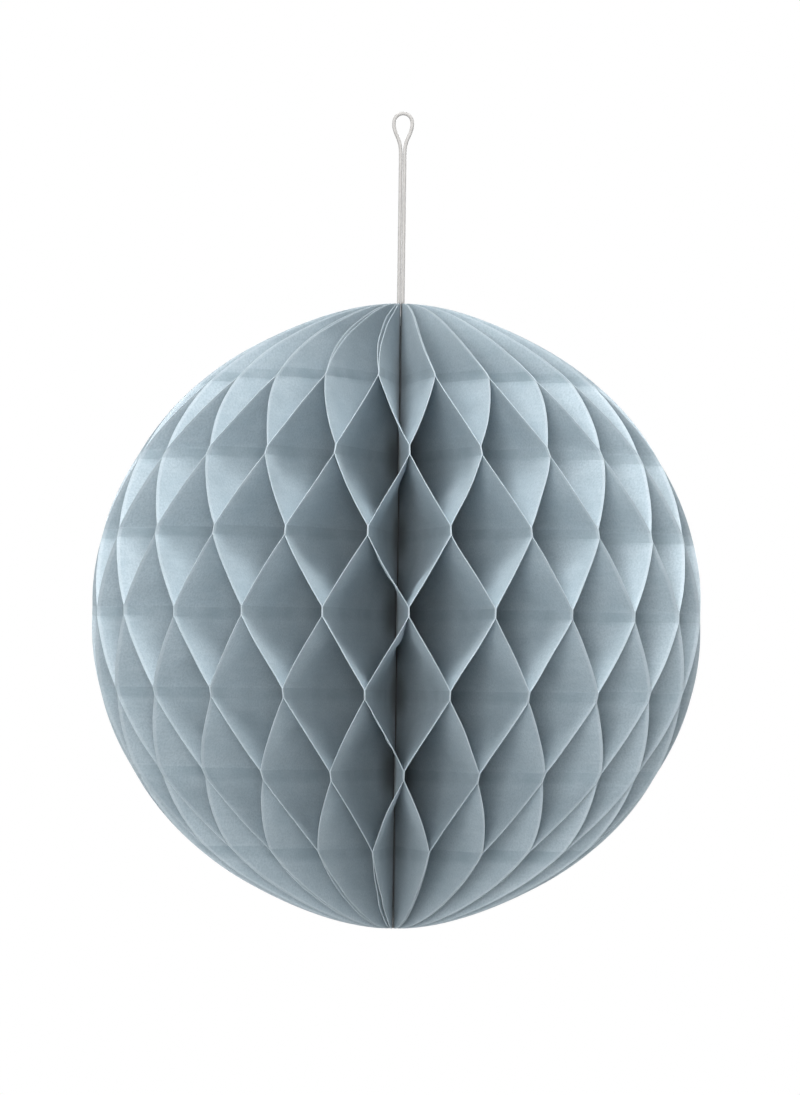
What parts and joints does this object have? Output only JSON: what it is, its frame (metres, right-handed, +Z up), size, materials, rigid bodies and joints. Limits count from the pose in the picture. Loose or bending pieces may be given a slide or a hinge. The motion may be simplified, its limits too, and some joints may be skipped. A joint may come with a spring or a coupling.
{
  "type": "paper honeycomb ball",
  "caption": "Hanging ball of half-round paper leaves glued in staggered rows into honeycomb cells, with cover boards that close at the back and a cord loop on top",
  "frame": {"origin": "inside of the top of the cord's loop, where a hook bears; the ball hangs below it with its middle at z = -0.1644 m", "axes": "+Z up along the cord, -Y the front, +X to the right"},
  "size_m": [0.1996, 0.1991, 0.268],
  "materials": {
    "paper": "matt dusty blue-grey paper with a fine mottled grain",
    "cover_board": "thin card in the same dusty blue-grey, matt",
    "closing_pad": "off-white double-sided adhesive pad",
    "cord": "off-white twisted cord, soft sheen"
  },
  "bodies": {
    "core": {"spine_cord": "cord", "bottom_knot": "cord", "hanging_cord": "cord"},
    "cover_right_side": {"cover_right": "cover_board", "closing_pads": "closing_pad"},
    "cover_left_side": {"cover_left": "cover_board"},
    "leaf_r01": {"leaf_r01": "paper"},
    "leaf_r02": {"leaf_r02": "paper"},
    "leaf_r03": {"leaf_r03": "paper"},
    "leaf_r04": {"leaf_r04": "paper"},
    "leaf_r05": {"leaf_r05": "paper"},
    "leaf_r06": {"leaf_r06": "paper"},
    "leaf_r07": {"leaf_r07": "paper"},
    "leaf_r08": {"leaf_r08": "paper"},
    "leaf_r09": {"leaf_r09": "paper"},
    "leaf_r10": {"leaf_r10": "paper"},
    "leaf_r11": {"leaf_r11": "paper"},
    "leaf_r12": {"leaf_r12": "paper"},
    "leaf_r13": {"leaf_r13": "paper"},
    "leaf_r14": {"leaf_r14": "paper"},
    "leaf_r15": {"leaf_r15": "paper"},
    "leaf_r16": {"leaf_r16": "paper"},
    "leaf_r17": {"leaf_r17": "paper"},
    "leaf_r18": {"leaf_r18": "paper"},
    "leaf_r19": {"leaf_r19": "paper"},
    "leaf_r20": {"leaf_r20": "paper"},
    "leaf_r21": {"leaf_r21": "paper"},
    "leaf_r22": {"leaf_r22": "paper"},
    "leaf_r23": {"leaf_r23": "paper"},
    "leaf_l01": {"leaf_l01": "paper"},
    "leaf_l02": {"leaf_l02": "paper"},
    "leaf_l03": {"leaf_l03": "paper"},
    "leaf_l04": {"leaf_l04": "paper"},
    "leaf_l05": {"leaf_l05": "paper"},
    "leaf_l06": {"leaf_l06": "paper"},
    "leaf_l07": {"leaf_l07": "paper"},
    "leaf_l08": {"leaf_l08": "paper"},
    "leaf_l09": {"leaf_l09": "paper"},
    "leaf_l10": {"leaf_l10": "paper"},
    "leaf_l11": {"leaf_l11": "paper"},
    "leaf_l12": {"leaf_l12": "paper"},
    "leaf_l13": {"leaf_l13": "paper"},
    "leaf_l14": {"leaf_l14": "paper"},
    "leaf_l15": {"leaf_l15": "paper"},
    "leaf_l16": {"leaf_l16": "paper"},
    "leaf_l17": {"leaf_l17": "paper"},
    "leaf_l18": {"leaf_l18": "paper"},
    "leaf_l19": {"leaf_l19": "paper"},
    "leaf_l20": {"leaf_l20": "paper"},
    "leaf_l21": {"leaf_l21": "paper"},
    "leaf_l22": {"leaf_l22": "paper"},
    "leaf_l23": {"leaf_l23": "paper"}
  },
  "joints": [
    {"name": "cover_right_fold", "type": "hinge", "parent": "core", "child": "cover_right_side", "pos_m": [0.00065, 0, -0.1644], "axis": [0, 0, -1], "range_deg": [0, 178]},
    {"name": "cover_left_fold", "type": "hinge", "parent": "core", "child": "cover_left_side", "pos_m": [-0.00065, 0, -0.1644], "axis": [0, 0, 1], "range_deg": [0, 178]},
    {"name": "fold_r01", "type": "hinge", "parent": "core", "child": "leaf_r01", "pos_m": [0.00065, 0, -0.1644], "axis": [0, 0, -1], "range_deg": [0, 3.88], "deforming": ["leaf_r01"]},
    {"name": "fold_r02", "type": "hinge", "parent": "core", "child": "leaf_r02", "pos_m": [0.00065, 0, -0.1644], "axis": [0, 0, -1], "range_deg": [0, 11.62], "deforming": ["leaf_r02"]},
    {"name": "fold_r03", "type": "hinge", "parent": "core", "child": "leaf_r03", "pos_m": [0.00065, 0, -0.1644], "axis": [0, 0, -1], "range_deg": [0, 19.36], "deforming": ["leaf_r03"]},
    {"name": "fold_r04", "type": "hinge", "parent": "core", "child": "leaf_r04", "pos_m": [0.00065, 0, -0.1644], "axis": [0, 0, -1], "range_deg": [0, 27.1], "deforming": ["leaf_r04"]},
    {"name": "fold_r05", "type": "hinge", "parent": "core", "child": "leaf_r05", "pos_m": [0.00065, 0, -0.1644], "axis": [0, 0, -1], "range_deg": [0, 34.84], "deforming": ["leaf_r05"]},
    {"name": "fold_r06", "type": "hinge", "parent": "core", "child": "leaf_r06", "pos_m": [0.00065, 0, -0.1644], "axis": [0, 0, -1], "range_deg": [0, 42.58], "deforming": ["leaf_r06"]},
    {"name": "fold_r07", "type": "hinge", "parent": "core", "child": "leaf_r07", "pos_m": [0.00065, 0, -0.1644], "axis": [0, 0, -1], "range_deg": [0, 50.31], "deforming": ["leaf_r07"]},
    {"name": "fold_r08", "type": "hinge", "parent": "core", "child": "leaf_r08", "pos_m": [0.00065, 0, -0.1644], "axis": [0, 0, -1], "range_deg": [0, 58.05], "deforming": ["leaf_r08"]},
    {"name": "fold_r09", "type": "hinge", "parent": "core", "child": "leaf_r09", "pos_m": [0.00065, 0, -0.1644], "axis": [0, 0, -1], "range_deg": [0, 65.79], "deforming": ["leaf_r09"]},
    {"name": "fold_r10", "type": "hinge", "parent": "core", "child": "leaf_r10", "pos_m": [0.00065, 0, -0.1644], "axis": [0, 0, -1], "range_deg": [0, 73.53], "deforming": ["leaf_r10"]},
    {"name": "fold_r11", "type": "hinge", "parent": "core", "child": "leaf_r11", "pos_m": [0.00065, 0, -0.1644], "axis": [0, 0, -1], "range_deg": [0, 81.27], "deforming": ["leaf_r11"]},
    {"name": "fold_r12", "type": "hinge", "parent": "core", "child": "leaf_r12", "pos_m": [0.00065, 0, -0.1644], "axis": [0, 0, -1], "range_deg": [0, 89.01], "deforming": ["leaf_r12"]},
    {"name": "fold_r13", "type": "hinge", "parent": "core", "child": "leaf_r13", "pos_m": [0.00065, 0, -0.1644], "axis": [0, 0, -1], "range_deg": [0, 96.75], "deforming": ["leaf_r13"]},
    {"name": "fold_r14", "type": "hinge", "parent": "core", "child": "leaf_r14", "pos_m": [0.00065, 0, -0.1644], "axis": [0, 0, -1], "range_deg": [0, 104.49], "deforming": ["leaf_r14"]},
    {"name": "fold_r15", "type": "hinge", "parent": "core", "child": "leaf_r15", "pos_m": [0.00065, 0, -0.1644], "axis": [0, 0, -1], "range_deg": [0, 112.23], "deforming": ["leaf_r15"]},
    {"name": "fold_r16", "type": "hinge", "parent": "core", "child": "leaf_r16", "pos_m": [0.00065, 0, -0.1644], "axis": [0, 0, -1], "range_deg": [0, 119.97], "deforming": ["leaf_r16"]},
    {"name": "fold_r17", "type": "hinge", "parent": "core", "child": "leaf_r17", "pos_m": [0.00065, 0, -0.1644], "axis": [0, 0, -1], "range_deg": [0, 127.71], "deforming": ["leaf_r17"]},
    {"name": "fold_r18", "type": "hinge", "parent": "core", "child": "leaf_r18", "pos_m": [0.00065, 0, -0.1644], "axis": [0, 0, -1], "range_deg": [0, 135.44], "deforming": ["leaf_r18"]},
    {"name": "fold_r19", "type": "hinge", "parent": "core", "child": "leaf_r19", "pos_m": [0.00065, 0, -0.1644], "axis": [0, 0, -1], "range_deg": [0, 143.18], "deforming": ["leaf_r19"]},
    {"name": "fold_r20", "type": "hinge", "parent": "core", "child": "leaf_r20", "pos_m": [0.00065, 0, -0.1644], "axis": [0, 0, -1], "range_deg": [0, 150.92], "deforming": ["leaf_r20"]},
    {"name": "fold_r21", "type": "hinge", "parent": "core", "child": "leaf_r21", "pos_m": [0.00065, 0, -0.1644], "axis": [0, 0, -1], "range_deg": [0, 158.66], "deforming": ["leaf_r21"]},
    {"name": "fold_r22", "type": "hinge", "parent": "core", "child": "leaf_r22", "pos_m": [0.00065, 0, -0.1644], "axis": [0, 0, -1], "range_deg": [0, 166.4], "deforming": ["leaf_r22"]},
    {"name": "fold_r23", "type": "hinge", "parent": "core", "child": "leaf_r23", "pos_m": [0.00065, 0, -0.1644], "axis": [0, 0, -1], "range_deg": [0, 174.14], "deforming": ["leaf_r23"]},
    {"name": "fold_l01", "type": "hinge", "parent": "core", "child": "leaf_l01", "pos_m": [-0.00065, 0, -0.1644], "axis": [0, 0, 1], "range_deg": [0, 3.88], "deforming": ["leaf_l01"]},
    {"name": "fold_l02", "type": "hinge", "parent": "core", "child": "leaf_l02", "pos_m": [-0.00065, 0, -0.1644], "axis": [0, 0, 1], "range_deg": [0, 11.62], "deforming": ["leaf_l02"]},
    {"name": "fold_l03", "type": "hinge", "parent": "core", "child": "leaf_l03", "pos_m": [-0.00065, 0, -0.1644], "axis": [0, 0, 1], "range_deg": [0, 19.36], "deforming": ["leaf_l03"]},
    {"name": "fold_l04", "type": "hinge", "parent": "core", "child": "leaf_l04", "pos_m": [-0.00065, 0, -0.1644], "axis": [0, 0, 1], "range_deg": [0, 27.1], "deforming": ["leaf_l04"]},
    {"name": "fold_l05", "type": "hinge", "parent": "core", "child": "leaf_l05", "pos_m": [-0.00065, 0, -0.1644], "axis": [0, 0, 1], "range_deg": [0, 34.84], "deforming": ["leaf_l05"]},
    {"name": "fold_l06", "type": "hinge", "parent": "core", "child": "leaf_l06", "pos_m": [-0.00065, 0, -0.1644], "axis": [0, 0, 1], "range_deg": [0, 42.58], "deforming": ["leaf_l06"]},
    {"name": "fold_l07", "type": "hinge", "parent": "core", "child": "leaf_l07", "pos_m": [-0.00065, 0, -0.1644], "axis": [0, 0, 1], "range_deg": [0, 50.31], "deforming": ["leaf_l07"]},
    {"name": "fold_l08", "type": "hinge", "parent": "core", "child": "leaf_l08", "pos_m": [-0.00065, 0, -0.1644], "axis": [0, 0, 1], "range_deg": [0, 58.05], "deforming": ["leaf_l08"]},
    {"name": "fold_l09", "type": "hinge", "parent": "core", "child": "leaf_l09", "pos_m": [-0.00065, 0, -0.1644], "axis": [0, 0, 1], "range_deg": [0, 65.79], "deforming": ["leaf_l09"]},
    {"name": "fold_l10", "type": "hinge", "parent": "core", "child": "leaf_l10", "pos_m": [-0.00065, 0, -0.1644], "axis": [0, 0, 1], "range_deg": [0, 73.53], "deforming": ["leaf_l10"]},
    {"name": "fold_l11", "type": "hinge", "parent": "core", "child": "leaf_l11", "pos_m": [-0.00065, 0, -0.1644], "axis": [0, 0, 1], "range_deg": [0, 81.27], "deforming": ["leaf_l11"]},
    {"name": "fold_l12", "type": "hinge", "parent": "core", "child": "leaf_l12", "pos_m": [-0.00065, 0, -0.1644], "axis": [0, 0, 1], "range_deg": [0, 89.01], "deforming": ["leaf_l12"]},
    {"name": "fold_l13", "type": "hinge", "parent": "core", "child": "leaf_l13", "pos_m": [-0.00065, 0, -0.1644], "axis": [0, 0, 1], "range_deg": [0, 96.75], "deforming": ["leaf_l13"]},
    {"name": "fold_l14", "type": "hinge", "parent": "core", "child": "leaf_l14", "pos_m": [-0.00065, 0, -0.1644], "axis": [0, 0, 1], "range_deg": [0, 104.49], "deforming": ["leaf_l14"]},
    {"name": "fold_l15", "type": "hinge", "parent": "core", "child": "leaf_l15", "pos_m": [-0.00065, 0, -0.1644], "axis": [0, 0, 1], "range_deg": [0, 112.23], "deforming": ["leaf_l15"]},
    {"name": "fold_l16", "type": "hinge", "parent": "core", "child": "leaf_l16", "pos_m": [-0.00065, 0, -0.1644], "axis": [0, 0, 1], "range_deg": [0, 119.97], "deforming": ["leaf_l16"]},
    {"name": "fold_l17", "type": "hinge", "parent": "core", "child": "leaf_l17", "pos_m": [-0.00065, 0, -0.1644], "axis": [0, 0, 1], "range_deg": [0, 127.71], "deforming": ["leaf_l17"]},
    {"name": "fold_l18", "type": "hinge", "parent": "core", "child": "leaf_l18", "pos_m": [-0.00065, 0, -0.1644], "axis": [0, 0, 1], "range_deg": [0, 135.44], "deforming": ["leaf_l18"]},
    {"name": "fold_l19", "type": "hinge", "parent": "core", "child": "leaf_l19", "pos_m": [-0.00065, 0, -0.1644], "axis": [0, 0, 1], "range_deg": [0, 143.18], "deforming": ["leaf_l19"]},
    {"name": "fold_l20", "type": "hinge", "parent": "core", "child": "leaf_l20", "pos_m": [-0.00065, 0, -0.1644], "axis": [0, 0, 1], "range_deg": [0, 150.92], "deforming": ["leaf_l20"]},
    {"name": "fold_l21", "type": "hinge", "parent": "core", "child": "leaf_l21", "pos_m": [-0.00065, 0, -0.1644], "axis": [0, 0, 1], "range_deg": [0, 158.66], "deforming": ["leaf_l21"]},
    {"name": "fold_l22", "type": "hinge", "parent": "core", "child": "leaf_l22", "pos_m": [-0.00065, 0, -0.1644], "axis": [0, 0, 1], "range_deg": [0, 166.4], "deforming": ["leaf_l22"]},
    {"name": "fold_l23", "type": "hinge", "parent": "core", "child": "leaf_l23", "pos_m": [-0.00065, 0, -0.1644], "axis": [0, 0, 1], "range_deg": [0, 174.14], "deforming": ["leaf_l23"]}
  ],
  "couplings": [
    {"joint": "cover_left_fold", "follows": "cover_right_fold", "ratio": 1},
    {"joint": "fold_r01", "follows": "cover_right_fold", "ratio": 0.02174},
    {"joint": "fold_r02", "follows": "cover_right_fold", "ratio": 0.06522},
    {"joint": "fold_r03", "follows": "cover_right_fold", "ratio": 0.1087},
    {"joint": "fold_r04", "follows": "cover_right_fold", "ratio": 0.15217},
    {"joint": "fold_r05", "follows": "cover_right_fold", "ratio": 0.19565},
    {"joint": "fold_r06", "follows": "cover_right_fold", "ratio": 0.23913},
    {"joint": "fold_r07", "follows": "cover_right_fold", "ratio": 0.28261},
    {"joint": "fold_r08", "follows": "cover_right_fold", "ratio": 0.32609},
    {"joint": "fold_r09", "follows": "cover_right_fold", "ratio": 0.36957},
    {"joint": "fold_r10", "follows": "cover_right_fold", "ratio": 0.41304},
    {"joint": "fold_r11", "follows": "cover_right_fold", "ratio": 0.45652},
    {"joint": "fold_r12", "follows": "cover_right_fold", "ratio": 0.5},
    {"joint": "fold_r13", "follows": "cover_right_fold", "ratio": 0.54348},
    {"joint": "fold_r14", "follows": "cover_right_fold", "ratio": 0.58696},
    {"joint": "fold_r15", "follows": "cover_right_fold", "ratio": 0.63043},
    {"joint": "fold_r16", "follows": "cover_right_fold", "ratio": 0.67391},
    {"joint": "fold_r17", "follows": "cover_right_fold", "ratio": 0.71739},
    {"joint": "fold_r18", "follows": "cover_right_fold", "ratio": 0.76087},
    {"joint": "fold_r19", "follows": "cover_right_fold", "ratio": 0.80435},
    {"joint": "fold_r20", "follows": "cover_right_fold", "ratio": 0.84783},
    {"joint": "fold_r21", "follows": "cover_right_fold", "ratio": 0.8913},
    {"joint": "fold_r22", "follows": "cover_right_fold", "ratio": 0.93478},
    {"joint": "fold_r23", "follows": "cover_right_fold", "ratio": 0.97826},
    {"joint": "fold_l01", "follows": "cover_right_fold", "ratio": 0.02174},
    {"joint": "fold_l02", "follows": "cover_right_fold", "ratio": 0.06522},
    {"joint": "fold_l03", "follows": "cover_right_fold", "ratio": 0.1087},
    {"joint": "fold_l04", "follows": "cover_right_fold", "ratio": 0.15217},
    {"joint": "fold_l05", "follows": "cover_right_fold", "ratio": 0.19565},
    {"joint": "fold_l06", "follows": "cover_right_fold", "ratio": 0.23913},
    {"joint": "fold_l07", "follows": "cover_right_fold", "ratio": 0.28261},
    {"joint": "fold_l08", "follows": "cover_right_fold", "ratio": 0.32609},
    {"joint": "fold_l09", "follows": "cover_right_fold", "ratio": 0.36957},
    {"joint": "fold_l10", "follows": "cover_right_fold", "ratio": 0.41304},
    {"joint": "fold_l11", "follows": "cover_right_fold", "ratio": 0.45652},
    {"joint": "fold_l12", "follows": "cover_right_fold", "ratio": 0.5},
    {"joint": "fold_l13", "follows": "cover_right_fold", "ratio": 0.54348},
    {"joint": "fold_l14", "follows": "cover_right_fold", "ratio": 0.58696},
    {"joint": "fold_l15", "follows": "cover_right_fold", "ratio": 0.63043},
    {"joint": "fold_l16", "follows": "cover_right_fold", "ratio": 0.67391},
    {"joint": "fold_l17", "follows": "cover_right_fold", "ratio": 0.71739},
    {"joint": "fold_l18", "follows": "cover_right_fold", "ratio": 0.76087},
    {"joint": "fold_l19", "follows": "cover_right_fold", "ratio": 0.80435},
    {"joint": "fold_l20", "follows": "cover_right_fold", "ratio": 0.84783},
    {"joint": "fold_l21", "follows": "cover_right_fold", "ratio": 0.8913},
    {"joint": "fold_l22", "follows": "cover_right_fold", "ratio": 0.93478},
    {"joint": "fold_l23", "follows": "cover_right_fold", "ratio": 0.97826}
  ]
}
